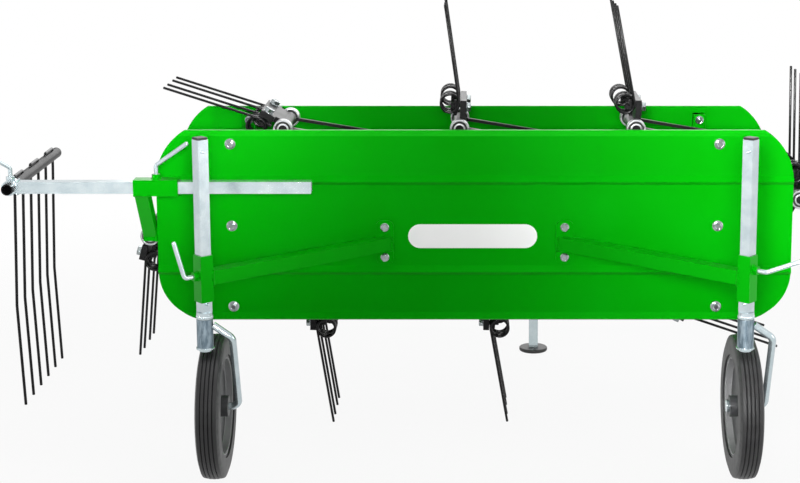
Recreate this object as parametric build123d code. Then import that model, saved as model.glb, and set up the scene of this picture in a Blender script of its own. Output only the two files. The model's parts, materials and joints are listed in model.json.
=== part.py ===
from build123d import *
from math import asin, atan2, cos, degrees, hypot, pi, radians, sin, tan
import os

# Belt rake for a two-wheeled tractor. An endless belt with sprung tines runs sideways between two
# sheet panels and throws the hay to the left, against a comb. Two caster wheels carry the front and
# a clamped stand carries the hitch when it is parked.
# All sizes are in millimetres. They are set out with X to the right, Y to the rear from the inner
# face of the front panel, and Z up from the ground. The written parts have their origin at the
# centre of the hitch flange's rear face.

# Clearances
SEAT_GAP = 0.1          # between curved pieces that sit on one another
RUN_FIT = 0.05          # radial, of a pin or axle in its bore
SLIDE_FIT = 0.5         # each side, of a square tube in its sleeve
SCREW_GAP = 0.3         # between a clamp screw's tip and what it holds

# Panels: folded sheet, with the stiffening ridges pressed outwards
PANEL_WIDTH = 1200
PANEL_BOTTOM = 236
PANEL_TOP = 601
SHEET = 2
PANEL_SPACE = 305       # between the inner faces of the two panels
TOP_CORNER_R = 114
TOP_CORNER_DROP = 98    # centre of the upper corner arcs below the top edge
LOW_CORNER_R = 92
RIDGE_OUT = 6
RIDGE_SLOPE = 12        # height of a ridge's upper, slack side
RIDGE_RETURN = 6        # height of its lower, steep side
RIDGE_HEIGHTS = (503, 329)
HEM_LEAN = 3            # the top edge leans inwards by this much
HEM_HIGH = 11
HEM_DEEP = 5            # width of the hem's flat top
FOOT_LIP_IN = 12

# Frame behind the panels
UPRIGHT = 25
UPRIGHT_BOTTOM = 245
UPRIGHT_TOP = 586
TUBE_WALL = 2.5
RAIL_HIGH = 80
RAIL_Z = 387
CROSS_WIDE = 40
CROSS_HIGH = 25
CROSS_INSET = 169       # cross tubes inwards of the axles
CROSS_Z = 362

# Belt and pulleys
AXLE_INSET = 141        # axles inwards of the panels' ends
AXLE_Z = 416
BELT_PITCH_R = 139.4
BELT_THICK = 8
BELT_WIDE = 44
PULLEY_WIDE = 50
PULLEY_RIM = 10
PULLEY_WEB = 8
PULLEY_HUB_R = 28
PULLEY_HUB_WIDE = 64
PULLEY_HOLE_R = 24
PULLEY_HOLES = 5
SHAFT_R = 12.5

# Tine carriers on the belt
CARRIERS = 8
FIRST_CARRIER = 91      # belt length from the left axle to the first pivot on the upper run
PIVOT_LIFT = 30.6       # pivots above the belt's outer face
PIVOT_PIN_R = 8
PIVOT_PIN_LONG = 160
ROLLER_R = 18.5
ROLLER_WIDE = 14
ROLLER_INSET = 2        # pin end that stands out of the roller
LINK_REACH = 165        # from pivot to base plate along a straight run
LINK_HIGH = 6
LINK_WIDE = 8
LINK_SPACE = 110        # between the two links of a carrier
BASE_LONG = 30
BASE_THICK = 6
HOLDER_WIDE = 108       # between the links
HOLDER_HEAD_WIDE = 132  # where it clamps the tines
HOLDER_HEAD_FROM = 24
HOLDER_BOSS_R = 13
HOLDER_THICK = 11
HOLDER_HIGH = 54
# Trailing turn of each carrier's tines, which swing on their pin: erect on the runs, folded at the bends
FOLDS = (61, -3, 0, 68, 60, -1, -2, 62)

# Sprung tines
WIRE = 5
COIL_R = 17.5           # at the middle of the wire
COIL_WALL = 4.4         # the close turns as a sleeve, a little less than the round wire
COIL_TURNS = 3
COIL_BACK = 21          # coil centre behind the pivot
COIL_OUT = 48           # coil centre outwards of the pivot
TINE_LEAN = 101         # direction of a tine from the belt's travel
TINE_LONG = 190
BRIDGE_DROP = 8         # the wire between a pair of coils, below their centres
PAIR_OFFSET = 51        # middle of a pair of coils from the belt's middle
TINE_SPACE = 45         # between the two tines of a pair

# Wheel arms, posts and casters
ARM_PLATE_X = 170
ARM_PLATE_WIDE = 33
ARM_PLATE_HIGH = 83
ARM_PLATE_THICK = 5
ARM_PLATE_CORNER = 10
ARM_Z = 384
ARM_TUBE = 25
ARM_WALL = 2
POST_INSET = 126        # posts inwards of the panels' ends
POST_Y = -262
POST = 20
POST_BOTTOM = 323
POST_TOP = 629
POST_CAP = 4
POST_CAP_DEEP = 12
SLEEVE_BOTTOM = 342
SLEEVE_TOP = 425
STOP_PIN_R = 2.5
STOP_PIN_OUT = 6
STOP_PIN_HEIGHTS = (338, 608)
WELD_R = 14
WELD_HIGH = 12
SWIVEL_PIN_R = 8
SWIVEL_PIN_END = 252.5
RETAINER_R = 11
RETAINER_HIGH = 2.5
CASTER_TUBE_R = 14.5
CASTER_TUBE_BOTTOM = 256
CASTER_LIP_R = 16
CASTER_LIP_HIGH = 3
CASTER_END_GAP = 0.5
CASTER_ROD_R = 6.5
CASTER_SIDE = 48        # rod beside the wheel
CASTER_ROD_TOP = 299
CASTER_ELBOW_Z = 275
CASTER_BEND = 14
CASTER_TRAIL = 62

# Wheels
WHEEL_R = 130
WHEEL_SHIFT = 7         # wheel's middle from the post's axis, towards the rod
TYRE_WIDE = 42
TREAD_WIDE = 35
TREAD_DROP = 2.5        # fall of the crowned tread at its edges
SHOULDER_HIGH = 10
GROOVES = 4
GROOVE_WIDE = 2.6
GROOVE_DEEP = 2.6
RIM_R = 92
RIM_WIDE = 36
RIM_LIP = 7
RIM_WEB = 10
WHEEL_HUB_R = 19
WHEEL_HUB_WIDE = 46
AXLE_WASHER_R = 11
AXLE_WASHER = 5

# Comb at the left
COMB_Y = -70
COMB_Z = 507
COMB_REACH = 227.5      # comb tube outwards of the bar's sleeve
BAR = 22
BAR_LONG = 554
BAR_WALL = 2.5
BAR_SLEEVE = 30
BAR_SLEEVE_OUT = 27.5   # outer end of the sleeve beyond the panel's end
BAR_SLEEVE_LONG = 82
BRACKET_TUBE = 25
BRACKET_Z = 400
BRACKET_Y = 13.5
RING_R = 14
RING_LONG = 30
COMB_TUBE_R = 10.5
COMB_TUBE_WALL = 2
COMB_FRONT_Y = -100
COMB_BACK_Y = 280
PLUG = 5
PLUG_DEEP = 14
COMB_TINES = 6
COMB_FIRST_Y = -45
COMB_TINE_SPACE = 59
COMB_WIRE = 5.5
COMB_TIP_Z = 80
COMB_KNEE_Z = 274
COMB_UPPER_LEAN = 1.5   # degrees, outwards down to the knee
COMB_LOWER_LEAN = 2.5   # degrees, back inwards below it
COMB_KNEE_R = 30        # bend of the wire at the knee
COMB_BRIDGE_R = 4       # bend of the wire over the tube

# Hitch, drive and stand
HITCH_Z = 400
HITCH_REACH = 293       # from the rear panel to the hitch face
HITCH_PLATE = 108
HITCH_PLATE_THICK = 6
HITCH_TUBE_R = 30
HITCH_TUBE_WALL = 4
FLANGE_R = 65
FLANGE_THICK = 12
FLANGE_PCD = 100
FLANGE_BOLTS = 4
FLANGE_HOLE_R = 5.5
DRIVE_SHAFT_R = 10
DRIVE_STUB_R = 9
DRIVE_STUB_OUT = 40
DRIVE_HOLE_R = 16
CASE_R = 32
CASE_DEEP = 30
CASE_BORE = 24
STAND_X = 135
STAND_BACK = 25         # stand's axis in front of the hitch face
STAND_ARM_Z = 384
STAND_SLEEVE_BOTTOM = 345
STAND_SLEEVE_TOP = 415
STAND_TOP = 432
FOOT_R = 31.5
FOOT_THICK = 8

# Clamp screws with a bent handle. A handle runs on from its elbow by x, y, z.
SCREW_R = 4
NUT_R = 8.5             # to the corners of the welded nut
NUT_HIGH = 9
SCREW_BEND = 8
SCREW_FREE = 16         # screw between its nut and its elbow
BAR_HANDLE = (60, 0, 42)
RING_HANDLE = (-28, -22, 24)
STAND_HANDLE = (14, 0, 66)
# One row for each post: side, height of the clamp screw, handle
POST_CLAMPS = ((-1, 389, (-17, -4, 66)),
               (1, 400, (62, -6, 22)))

TOP_CORNER_Z = PANEL_TOP - TOP_CORNER_DROP
FRONT_OUT = -SHEET                      # outer face of the front panel
REAR_OUT = PANEL_SPACE + SHEET          # outer face of the rear panel
HITCH_FACE_Y = REAR_OUT + HITCH_REACH
STAND_Y = HITCH_FACE_Y - STAND_BACK
AXLE_X = PANEL_WIDTH / 2 - AXLE_INSET
CROSS_X = AXLE_X - CROSS_INSET
POST_X = PANEL_WIDTH / 2 - POST_INSET
BAR_SLEEVE_LEFT = -PANEL_WIDTH / 2 - BAR_SLEEVE_OUT
COMB_X = BAR_SLEEVE_LEFT - COMB_REACH
BELT_Y = PANEL_SPACE / 2
BELT_OUT_R = BELT_PITCH_R + BELT_THICK / 2
BELT_IN_R = BELT_PITCH_R - BELT_THICK / 2
PIVOT_R = BELT_OUT_R + PIVOT_LIFT
BASE_R = BELT_OUT_R + SEAT_GAP + BASE_THICK / 2     # middle of a carrier's base plate
RUN = 2 * AXLE_X
BEND = pi * BELT_PITCH_R
BELT_LONG = 2 * (RUN + BEND)
SLEEVE = POST + 2 * SLIDE_FIT + 2 * ARM_WALL
WHEEL_Y = POST_Y + CASTER_TRAIL
ORIGIN = Vector(0, HITCH_FACE_Y, HITCH_Z)

os.makedirs("parts", exist_ok=True)


def block(x, y, z):
    """A box from its (low, high) limits along each axis."""
    size = Box(x[1] - x[0], y[1] - y[0], z[1] - z[0])
    return Pos((x[0] + x[1]) / 2, (y[0] + y[1]) / 2, (z[0] + z[1]) / 2) * size


def square_tube(width, high, long, wall):
    """A hollow bar along X, centred on the origin."""
    return Box(long, width, high) - Box(long, width - 2 * wall, high - 2 * wall)


def upright_tube(side, bottom, top, inside):
    """A square tube along Z on the origin's axis."""
    middle = Pos(0, 0, (bottom + top) / 2)
    return middle * (Box(side, side, top - bottom) - Box(inside, inside, top - bottom))


def cylinder_y(radius, low, high):
    """A cylinder along Y between two places."""
    return Pos(0, (low + high) / 2, 0) * Rot(90, 0, 0) * Cylinder(radius, high - low)


def bent_rod(points, bend, radius):
    """Round rod through points, with one bend radius for all corners or a list of them."""
    path = FilletPolyline(*points, radius=bend)
    section = Plane(origin=path @ 0, z_dir=path % 0) * Circle(radius)
    return sweep(section, path=path)


def toward(place, direction):
    """Location at a place whose Z points along a direction."""
    return Location(Plane(origin=place, z_dir=direction))


def write(name, *solids):
    """Write one node, moved so that the hitch face is the origin."""
    moved = [Pos(-ORIGIN) * solid for solid in solids]
    export_step(moved[0] if len(moved) == 1 else Compound(children=moved), f"parts/{name}.step")


# Panels

def sheet_section(line, thickness):
    """Closed outline of a folded sheet, from the line of its outer face."""
    inner = []
    for i, (y, z) in enumerate(line):
        before = line[max(i - 1, 0)]
        after = line[min(i + 1, len(line) - 1)]
        into = unit(y - before[0], z - before[1]) if i > 0 else unit(after[0] - y, after[1] - z)
        out = unit(after[0] - y, after[1] - z) if i < len(line) - 1 else into
        normal_y = -(into[1] + out[1])
        normal_z = into[0] + out[0]
        reach = thickness / (1 + into[0] * out[0] + into[1] * out[1])
        inner.append((y + normal_y * reach, z + normal_z * reach))
    return list(line) + inner[::-1]


def unit(y, z):
    long = hypot(y, z)
    return (y / long, z / long)


def panel_outline():
    """Front view of a panel: round lower corners, upper corners cut by the top edge."""
    half = PANEL_WIDTH / 2
    sweep_up = asin((PANEL_TOP - TOP_CORNER_Z) / TOP_CORNER_R)
    centre = half - TOP_CORNER_R
    top_x = centre + TOP_CORNER_R * cos(sweep_up)
    mid_x = centre + TOP_CORNER_R * cos(sweep_up / 2)
    mid_z = TOP_CORNER_Z + TOP_CORNER_R * sin(sweep_up / 2)
    low_z = PANEL_BOTTOM + LOW_CORNER_R
    low = LOW_CORNER_R * (1 - cos(pi / 4))
    edges = [Line((-top_x, PANEL_TOP), (top_x, PANEL_TOP)),
             Line((-half + LOW_CORNER_R, PANEL_BOTTOM), (half - LOW_CORNER_R, PANEL_BOTTOM))]
    for side in (-1, 1):
        edges += [ThreePointArc((side * top_x, PANEL_TOP), (side * mid_x, mid_z),
                                (side * half, TOP_CORNER_Z)),
                  Line((side * half, TOP_CORNER_Z), (side * half, low_z)),
                  ThreePointArc((side * half, low_z), (side * (half - low), PANEL_BOTTOM + low),
                                (side * (half - LOW_CORNER_R), PANEL_BOTTOM))]
    return make_face(edges)


def panel():
    """The front panel: a folded section along X, trimmed to the outline."""
    out = FRONT_OUT - RIDGE_OUT
    hem = FRONT_OUT + HEM_LEAN + HEM_DEEP
    line = [(hem, PANEL_TOP - HEM_HIGH), (hem, PANEL_TOP), (FRONT_OUT + HEM_LEAN, PANEL_TOP),
            (FRONT_OUT, PANEL_TOP - HEM_HIGH)]
    for peak in RIDGE_HEIGHTS:
        line += [(FRONT_OUT, peak + RIDGE_SLOPE), (out, peak), (FRONT_OUT, peak - RIDGE_RETURN)]
    foot = PANEL_BOTTOM + SHEET
    line += [(FRONT_OUT, foot + RIDGE_SLOPE), (out, foot), (out + SHEET, PANEL_BOTTOM),
             (FRONT_OUT + FOOT_LIP_IN, PANEL_BOTTOM)]
    section = Plane.YZ * Polygon(*sheet_section(line, SHEET), align=None)
    folded = extrude(section, PANEL_WIDTH / 2, both=True)
    trim = extrude(Plane.XZ * panel_outline(), PANEL_SPACE / 2, both=True)
    return folded & trim


def rear_panel(front):
    """The front panel's mirror image across the belt, with a hole for the drive shaft."""
    rear = front.mirror(Plane.XZ.offset(-BELT_Y))
    hole = Pos(0, 0, HITCH_Z) * cylinder_y(DRIVE_HOLE_R, PANEL_SPACE - RIDGE_OUT, REAR_OUT + RIDGE_OUT)
    return rear - hole


# Frame

def uprights():
    tube = upright_tube(UPRIGHT, UPRIGHT_BOTTOM, UPRIGHT_TOP, UPRIGHT - 2 * TUBE_WALL)
    rows = (UPRIGHT / 2, PANEL_SPACE - UPRIGHT / 2)
    return [Pos(side * AXLE_X, y, 0) * tube for side in (-1, 1) for y in rows]


def rails():
    long = 2 * AXLE_X - UPRIGHT
    rail = square_tube(UPRIGHT, RAIL_HIGH, long, TUBE_WALL)
    front = Pos(0, UPRIGHT / 2, RAIL_Z) * rail
    rear = Pos(0, PANEL_SPACE - UPRIGHT / 2, RAIL_Z) * rail
    rear -= Pos(0, 0, HITCH_Z) * cylinder_y(DRIVE_HOLE_R, PANEL_SPACE - UPRIGHT, PANEL_SPACE)
    return front, rear


def cross_tubes():
    long = PANEL_SPACE - 2 * UPRIGHT
    tube = Rot(0, 0, 90) * square_tube(CROSS_WIDE, CROSS_HIGH, long, TUBE_WALL)
    return [Pos(side * CROSS_X, BELT_Y, CROSS_Z) * tube for side in (-1, 1)]


# Belt, pulleys and chain case

def loop_place(travel, radius):
    """Location on the belt's loop: X along its travel, Z outwards, after a length of belt travel."""
    travel = travel % BELT_LONG
    lower = travel >= RUN + BEND
    rest = travel - (RUN + BEND if lower else 0)
    turn = max(rest - RUN, 0) / BELT_PITCH_R
    x = -AXLE_X + min(rest, RUN) + radius * sin(turn)
    z = radius * cos(turn)
    side = -1 if lower else 1
    angle = degrees(turn) + (180 if lower else 0)
    return Location((side * x, BELT_Y, AXLE_Z + side * z), (0, angle, 0))


def stadium(radius, wide):
    """A slot-shaped bar round both axles, along Y."""
    slot = Plane.XZ * SlotCenterToCenter(RUN, 2 * radius)
    return Pos(0, BELT_Y, AXLE_Z) * extrude(slot, wide / 2, both=True)


def belt():
    return stadium(BELT_OUT_R, BELT_WIDE) - stadium(BELT_IN_R, BELT_WIDE)


def pulley(side):
    """Pulley with its shaft, which ends at the uprights' inner faces."""
    rim_r = BELT_IN_R - SEAT_GAP
    solid = cylinder_y(rim_r, -PULLEY_WIDE / 2, PULLEY_WIDE / 2)
    for face in (-1, 1):
        low, high = sorted((face * PULLEY_WEB / 2, face * PULLEY_WIDE / 2))
        solid -= cylinder_y(rim_r - PULLEY_RIM, low, high)
    spoke_r = (rim_r - PULLEY_RIM + PULLEY_HUB_R) / 2
    for i in range(PULLEY_HOLES):
        angle = 2 * pi * i / PULLEY_HOLES
        hole = cylinder_y(PULLEY_HOLE_R, -PULLEY_WEB, PULLEY_WEB)
        solid -= Pos(spoke_r * cos(angle), 0, spoke_r * sin(angle)) * hole
    solid += cylinder_y(PULLEY_HUB_R, -PULLEY_HUB_WIDE / 2, PULLEY_HUB_WIDE / 2)
    solid += cylinder_y(SHAFT_R, UPRIGHT - BELT_Y, BELT_Y - UPRIGHT)
    return Pos(side * AXLE_X, BELT_Y, AXLE_Z) * solid


def chain_case():
    """Flat housing from the drive shaft to the right axle, on the rear rail."""
    back = PANEL_SPACE - UPRIGHT
    rise = AXLE_Z - HITCH_Z
    slope = degrees(atan2(rise, AXLE_X))
    slot = Rot(0, -slope, 0) * (Plane.XZ * SlotCenterToCenter(hypot(AXLE_X, rise), 2 * CASE_R))
    case = Pos(AXLE_X / 2, back, HITCH_Z + rise / 2) * extrude(slot, CASE_DEEP, dir=(0, -1, 0))
    case -= Pos(0, 0, HITCH_Z) * cylinder_y(DRIVE_SHAFT_R + RUN_FIT, back - CASE_BORE, back)
    return case - Pos(AXLE_X, 0, AXLE_Z) * cylinder_y(SHAFT_R + RUN_FIT, back - CASE_DEEP, back)


# Tine carriers

def carrier(travel):
    """Base plate on the belt, two links trailing from it, and the pivot pin with its rollers."""
    pivot = loop_place(travel, PIVOT_R)
    base = loop_place(base_travel(travel), BASE_R)
    reach = base.position - pivot.position
    link = extrude(Plane.XZ * SlotCenterToCenter(reach.length, LINK_HIGH), LINK_WIDE / 2, both=True)
    middle = (base.position + pivot.position) / 2
    slope = Rot(0, -degrees(atan2(reach.Z, reach.X)), 0)
    solid = pivot * pivot_pin()
    for side in (-1, 1):
        offset = side * (LINK_SPACE + LINK_WIDE) / 2
        solid += Pos(middle) * Pos(0, offset, 0) * slope * link
    return solid + base * Box(BASE_LONG, LINK_SPACE + 2 * LINK_WIDE, BASE_THICK)


def base_travel(travel):
    """Belt place of a carrier's base, where its links keep their length round the bends too."""
    long = hypot(LINK_REACH, PIVOT_R - BASE_R)
    pivot = loop_place(travel, PIVOT_R).position
    low = travel
    high = travel + BEND / 2
    for _ in range(50):
        ahead = (low + high) / 2
        if (loop_place(ahead, BASE_R).position - pivot).length < long:
            low = ahead
        else:
            high = ahead
    return low


def pivot_pin():
    half = PIVOT_PIN_LONG / 2
    pin = cylinder_y(PIVOT_PIN_R, -half, half)
    outer = half - ROLLER_INSET
    for low, high in ((-outer, ROLLER_WIDE - outer), (outer - ROLLER_WIDE, outer)):
        pin += cylinder_y(ROLLER_R, low, high)
    return pin


def holder():
    """Clamp block that turns on the pivot pin, with the coils against its trailing face."""
    face = COIL_R + WIRE / 2 - COIL_BACK + SCREW_GAP
    half = HOLDER_WIDE / 2
    shape = cylinder_y(HOLDER_BOSS_R, -half, half)
    shape += block((face, HOLDER_THICK), (-half, half), (0, HOLDER_HIGH))
    head = HOLDER_HEAD_WIDE / 2
    shape += block((face, HOLDER_THICK), (-head, head), (HOLDER_HEAD_FROM, HOLDER_HIGH))
    return shape - cylinder_y(PIVOT_PIN_R + RUN_FIT, -half, half)


def spring_tine():
    """Double tine of one wire: a coil at each leg and a bridge between the coils."""
    outer = COIL_R + COIL_WALL / 2
    lean = radians(TINE_LEAN)
    leg_x = COIL_R * sin(lean)
    leg_z = -COIL_R * cos(lean)
    bridge = Pos(COIL_R, 0, -BRIDGE_DROP) * cylinder_y(WIRE / 2, -TINE_SPACE / 2, TINE_SPACE / 2)
    tine = bridge
    for side in (-1, 1):
        edge = side * (TINE_SPACE + COIL_WALL) / 2
        low, high = sorted((edge, edge - side * COIL_TURNS * WIRE))
        coil = cylinder_y(outer, low, high) - cylinder_y(outer - COIL_WALL, low, high)
        foot = Vector(leg_x, side * TINE_SPACE / 2, leg_z)
        leg = toward(foot, (cos(lean), 0, sin(lean))) * Pos(0, 0, TINE_LONG / 2)
        tine += coil + leg * Cylinder(WIRE / 2, TINE_LONG)
    return Pos(-COIL_BACK, 0, COIL_OUT) * tine


def carrier_set():
    """Carriers, holders and tines all round the belt."""
    carriers, holders, tines = [], [], []
    for i in range(CARRIERS):
        travel = FIRST_CARRIER + i * BELT_LONG / CARRIERS
        fold = FOLDS[i % len(FOLDS)]
        turned = loop_place(travel, PIVOT_R) * Rot(0, -fold, 0)
        carriers.append(carrier(travel))
        holders.append(turned * holder())
        for side in (-1, 1):
            tines.append(turned * Pos(0, side * PAIR_OFFSET, 0) * spring_tine())
    return carriers, holders, tines


# Clamp screws

def clamp_screw(tip, outward, elbow, handle):
    """Screw from its tip outwards to an elbow, with a bent handle on from there."""
    start = Vector(tip)
    corner = start + Vector(outward).normalized() * elbow
    return bent_rod([start, corner, corner + Vector(handle)], SCREW_BEND, SCREW_R)


def nut_on(face, outward):
    """Six-sided nut that is welded on a sleeve's face."""
    return toward(face, outward) * extrude(RegularPolygon(NUT_R, 6), NUT_HIGH)


def screw_hole(face, outward, wall):
    """Hole for a clamp screw through its nut and the wall under it."""
    deep = NUT_HIGH + wall
    middle = (NUT_HIGH - wall) / 2
    return toward(face, outward) * Pos(0, 0, middle) * Cylinder(SCREW_R + RUN_FIT, deep)


# Wheel arms, posts, casters and wheels

ARM_RUN = Vector(POST_X - ARM_PLATE_X, POST_Y - FRONT_OUT, 0)
ARM_ANGLE = degrees(atan2(ARM_RUN.Y, ARM_RUN.X))


def arm_way(side):
    """Level direction of an arm, from the panel out to its post."""
    return Vector(side * ARM_RUN.X, ARM_RUN.Y, 0).normalized()


def post_place(side):
    """Post axis at ground level, turned with its arm."""
    return Location((side * POST_X, POST_Y, 0), (0, 0, side * ARM_ANGLE))


def wheel_arm(side, screw_z):
    """Plate on the panel, square arm and upright sleeve, welded together."""
    way = arm_way(side)
    outline = RectangleRounded(ARM_PLATE_WIDE, ARM_PLATE_HIGH, ARM_PLATE_CORNER)
    plate = extrude(Plane.XZ * outline, ARM_PLATE_THICK)
    plate = Pos(side * ARM_PLATE_X, FRONT_OUT, RAIL_Z) * plate
    front = FRONT_OUT - ARM_PLATE_THICK
    long = ARM_RUN.length + ARM_TUBE
    start = Vector(side * ARM_PLATE_X, FRONT_OUT, ARM_Z) - way * ARM_TUBE
    tube = Pos(long / 2, 0, 0) * square_tube(ARM_TUBE, ARM_TUBE, long - SLEEVE / 2, ARM_WALL)
    tube = Pos(-SLEEVE / 4, 0, 0) * tube
    heading = Location(start, (0, 0, degrees(atan2(way.Y, way.X))))
    arm = heading * tube
    behind = block((-POST_X, POST_X), (front, -POST_Y), (0, PANEL_TOP))
    inside = SLEEVE - 2 * ARM_WALL
    sleeve = post_place(side) * upright_tube(SLEEVE, SLEEVE_BOTTOM, SLEEVE_TOP, inside)
    face = Vector(side * POST_X, POST_Y, screw_z) + way * (SLEEVE / 2)
    solid = (arm - behind) + plate + sleeve + nut_on(face, way)
    return solid - screw_hole(face, way, ARM_WALL)


def post_clamp(side, screw_z, handle):
    way = arm_way(side)
    tip = Vector(side * POST_X, POST_Y, screw_z) + way * (POST / 2 + SCREW_GAP)
    elbow = SLIDE_FIT + ARM_WALL + NUT_HIGH + SCREW_FREE
    return clamp_screw(tip, way, elbow, handle)


def post(side):
    """Square tube with stop pins, closed at the foot by the welded swivel pin and its retainer."""
    solid = upright_tube(POST, POST_BOTTOM, POST_TOP, POST - 2 * ARM_WALL)
    for z in STOP_PIN_HEIGHTS:
        solid += Pos(0, 0, z) * cylinder_y(STOP_PIN_R, -POST / 2 - STOP_PIN_OUT, POST / 2 + STOP_PIN_OUT)
    collar = POST_BOTTOM - WELD_HIGH
    solid += Pos(0, 0, POST_BOTTOM - WELD_HIGH / 2) * Cylinder(WELD_R, WELD_HIGH)
    solid += Pos(0, 0, (collar + SWIVEL_PIN_END) / 2) * Cylinder(SWIVEL_PIN_R, collar - SWIVEL_PIN_END)
    solid += Pos(0, 0, SWIVEL_PIN_END + RETAINER_HIGH / 2) * Cylinder(RETAINER_R, RETAINER_HIGH)
    return post_place(side) * solid


def post_cap(side):
    inner = POST - 2 * ARM_WALL - 2 * SEAT_GAP
    cap = block((-POST / 2, POST / 2), (-POST / 2, POST / 2), (POST_TOP, POST_TOP + POST_CAP))
    cap += block((-inner / 2, inner / 2), (-inner / 2, inner / 2), (POST_TOP - POST_CAP_DEEP, POST_TOP))
    return post_place(side) * cap


def caster(side):
    """Swivel tube with a bent rod that passes beside the wheel and turns in as its axle."""
    top = POST_BOTTOM - WELD_HIGH - CASTER_END_GAP
    high = top - CASTER_TUBE_BOTTOM
    tube = Pos(0, 0, CASTER_TUBE_BOTTOM + high / 2) * Cylinder(CASTER_TUBE_R, high)
    tube += Pos(0, 0, CASTER_TUBE_BOTTOM + CASTER_LIP_HIGH / 2) * Cylinder(CASTER_LIP_R, CASTER_LIP_HIGH)
    end = WHEEL_SHIFT - WHEEL_HUB_WIDE / 2 - AXLE_WASHER
    start = SWIVEL_PIN_R + CASTER_ROD_R
    rod = bent_rod([(start, 0, CASTER_ROD_TOP), (CASTER_SIDE, 0, CASTER_ELBOW_Z),
                    (CASTER_SIDE, CASTER_TRAIL, WHEEL_R), (end, CASTER_TRAIL, WHEEL_R)],
                   CASTER_BEND, CASTER_ROD_R)
    washer = Pos(end + AXLE_WASHER / 2 - SEAT_GAP, CASTER_TRAIL, WHEEL_R) * Rot(0, 90, 0)
    bore = Pos(0, 0, CASTER_TUBE_BOTTOM + high / 2) * Cylinder(SWIVEL_PIN_R + RUN_FIT, high)
    solid = tube + rod + washer * Cylinder(AXLE_WASHER_R, AXLE_WASHER) - bore
    return Pos(side * POST_X, POST_Y, 0) * solid


def wheel_place(side):
    return Pos(side * POST_X + WHEEL_SHIFT, WHEEL_Y, WHEEL_R)


def tyre(side):
    """Solid tyre: a crowned tread with grooves all round, sloping shoulders and flat walls."""
    half = TYRE_WIDE / 2
    edge = TREAD_WIDE / 2
    crown = [(x, WHEEL_R - TREAD_DROP * (x / edge) ** 2 - deep) for x, deep in tread_steps(edge)]
    shoulder = WHEEL_R - TREAD_DROP - SHOULDER_HIGH
    inner = RIM_R + SEAT_GAP
    section = [(-half, inner), (-half, shoulder)] + crown + [(half, shoulder), (half, inner)]
    return wheel_place(side) * revolve(Plane.XZ * Polygon(*section, align=None), Axis.X)


def tread_steps(edge):
    """Places across the tread with their depth: its edges and the three points of each groove."""
    steps = [(-edge, 0)]
    for i in range(GROOVES):
        middle = edge * (2 * (i + 1) / (GROOVES + 1) - 1)
        half = GROOVE_WIDE / 2
        steps += [(middle - half, 0), (middle, GROOVE_DEEP), (middle + half, 0)]
    return steps + [(edge, 0)]


def wheel_rim(side):
    """Rim ring, recessed disc and bored hub."""
    ring = Rot(0, 90, 0) * (Cylinder(RIM_R, RIM_WIDE) - Cylinder(RIM_R - RIM_LIP, RIM_WIDE))
    disc = Rot(0, 90, 0) * Cylinder(RIM_R - RIM_LIP / 2, RIM_WEB)
    hub = Rot(0, 90, 0) * Cylinder(WHEEL_HUB_R, WHEEL_HUB_WIDE)
    bore = Rot(0, 90, 0) * Cylinder(CASTER_ROD_R + RUN_FIT, WHEEL_HUB_WIDE)
    return wheel_place(side) * (ring + disc + hub - bore)


# Comb

def comb_bracket():
    """Tube from the left upright, sloping up and forward to the sleeve of the comb's bar."""
    left = BAR_SLEEVE_LEFT
    half = BRACKET_TUBE / 2
    level = block((left, -AXLE_X - UPRIGHT / 2), (BRACKET_Y - half, BRACKET_Y + half),
                  (BRACKET_Z - half, BRACKET_Z + half))
    foot = Vector(left + half, BRACKET_Y, BRACKET_Z)
    head = Vector(left + half, COMB_Y, COMB_Z)
    rise = head - foot
    strut = toward(foot, rise) * Pos(0, 0, rise.length / 2) * Box(BRACKET_TUBE, BRACKET_TUBE, rise.length)
    middle = left + BAR_SLEEVE_LONG / 2
    place = Pos(middle, COMB_Y, COMB_Z)
    inside = BAR + 2 * SLIDE_FIT
    face = Vector(middle, COMB_Y, COMB_Z + BAR_SLEEVE / 2)
    solid = level + strut + place * Box(BAR_SLEEVE_LONG, BAR_SLEEVE, BAR_SLEEVE) + nut_on(face, (0, 0, 1))
    solid -= place * Box(BAR_SLEEVE_LONG, inside, inside)
    return solid - screw_hole(face, (0, 0, 1), (BAR_SLEEVE - inside) / 2)


def bar_clamp():
    middle = BAR_SLEEVE_LEFT + BAR_SLEEVE_LONG / 2
    tip = (middle, COMB_Y, COMB_Z + BAR / 2 + SCREW_GAP)
    elbow = (BAR_SLEEVE - BAR) / 2 + NUT_HIGH + SCREW_FREE
    return clamp_screw(tip, (0, 0, 1), elbow, BAR_HANDLE)


def comb_bar():
    """Square tube with the comb's ring welded to its outer end."""
    ring = Pos(COMB_X, COMB_Y, COMB_Z) * cylinder_y(RING_R, -RING_LONG / 2, RING_LONG / 2)
    bar = Pos(COMB_X + BAR_LONG / 2, COMB_Y, COMB_Z) * square_tube(BAR, BAR, BAR_LONG, BAR_WALL)
    face = Vector(COMB_X, COMB_Y, COMB_Z + COMB_TUBE_R)
    solid = ring + bar + nut_on(face, (0, 0, 1))
    bore = Pos(COMB_X, COMB_Y, COMB_Z) * cylinder_y(COMB_TUBE_R + RUN_FIT, -RING_LONG / 2, RING_LONG / 2)
    return solid - bore - screw_hole(face, (0, 0, 1), 0)


def ring_clamp():
    tip = (COMB_X, COMB_Y, COMB_Z + COMB_TUBE_R + SCREW_GAP)
    return clamp_screw(tip, (0, 0, 1), NUT_HIGH + SCREW_FREE, RING_HANDLE)


def comb_legs():
    return [COMB_FIRST_Y + i * COMB_TINE_SPACE for i in range(COMB_TINES)]


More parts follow.
